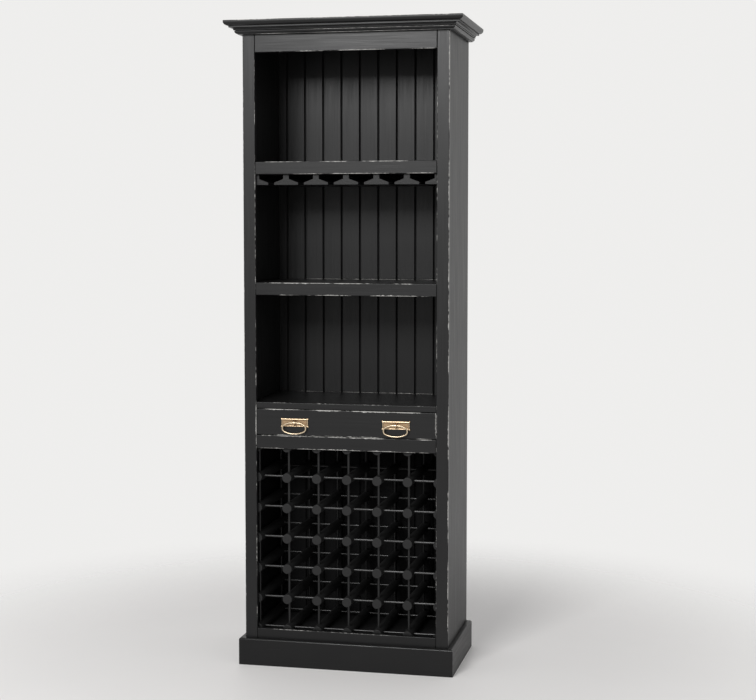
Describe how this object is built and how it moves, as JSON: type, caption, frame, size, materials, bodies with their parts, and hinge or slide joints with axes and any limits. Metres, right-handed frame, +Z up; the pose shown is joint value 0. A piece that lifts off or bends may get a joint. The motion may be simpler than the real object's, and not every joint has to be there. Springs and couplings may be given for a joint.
{
  "type": "wine cabinet",
  "caption": "Tall open wine cabinet in black painted wood: display shelves, stemware rails, a drawer with brass ring pulls and a bottle rack of round posts, on a plinth under a moulded cornice.",
  "frame": {"origin": "on the floor, midway in the width and the depth of the whole outline, cornice included", "axes": "+Z up, +X to the right of someone who faces the cabinet, +Y from the open front to the back"},
  "size_m": [0.74, 0.4, 2],
  "materials": {
    "black_paint": "satin black paint on wood, rubbed through to a pale undercoat along the edges",
    "rack_black": "matt black paint on turned wood",
    "drawer_wood": "planed and clear sealed softwood",
    "aged_brass": "aged cast brass, bright where it is rubbed",
    "bolt_steel": "zinc plated"
  },
  "bodies": {
    "cabinet": {"back_board_01": "black_paint", "back_board_02": "black_paint", "back_board_03": "black_paint", "back_board_04": "black_paint", "back_board_05": "black_paint", "back_board_06": "black_paint", "back_board_07": "black_paint", "back_board_08": "black_paint", "back_board_09": "black_paint", "back_board_10": "black_paint", "back_board_11": "black_paint", "bottom_board": "black_paint", "bottom_rail": "black_paint", "cornice_front": "black_paint", "cornice_left": "black_paint", "cornice_right": "black_paint", "counter_shelf": "black_paint", "drawer_deck": "black_paint", "drawer_guides": "drawer_wood", "drawer_rail": "black_paint", "drawer_runners": "drawer_wood", "drawer_stops": "drawer_wood", "left_side_panel": "black_paint", "left_stile": "black_paint", "middle_shelf": "black_paint", "plinth_front": "black_paint", "plinth_left": "black_paint", "plinth_right": "black_paint", "rack_cross_rods": "rack_black", "rack_post_row_1": "rack_black", "rack_post_row_2": "rack_black", "rack_post_row_3": "rack_black", "rack_post_row_4": "rack_black", "rack_post_row_5": "rack_black", "rack_post_row_6": "rack_black", "rack_post_row_7": "rack_black", "rack_upright_rods": "rack_black", "right_side_panel": "black_paint", "right_stile": "black_paint", "stem_rail_1": "black_paint", "stem_rail_2": "black_paint", "stem_rail_3": "black_paint", "stem_rail_4": "black_paint", "stem_rail_5": "black_paint", "stem_rail_6": "black_paint", "stem_rail_7": "black_paint", "top_board": "black_paint", "top_rail": "black_paint", "upper_shelf": "black_paint"},
    "drawer": {"drawer_front": "black_paint", "drawer_left_side": "drawer_wood", "drawer_right_side": "drawer_wood", "drawer_back": "drawer_wood", "drawer_bottom": "drawer_wood", "left_handle_plate": "aged_brass", "right_handle_plate": "aged_brass", "handle_bolts": "bolt_steel"},
    "left_ring": {"left_ring_pull": "aged_brass"},
    "right_ring": {"right_ring_pull": "aged_brass"}
  },
  "joints": [
    {"name": "drawer_slide", "type": "slide", "parent": "cabinet", "child": "drawer", "axis": [0, -1, 0], "range_m": [0, 0.22]},
    {"name": "left_ring_swing", "type": "hinge", "parent": "drawer", "child": "left_ring", "pos_m": [-0.16, -0.1645, 0.7676], "axis": [-1, 0, 0], "range_deg": [-15, 195]},
    {"name": "right_ring_swing", "type": "hinge", "parent": "drawer", "child": "right_ring", "pos_m": [0.16, -0.1645, 0.7676], "axis": [-1, 0, 0], "range_deg": [-15, 195]}
  ]
}
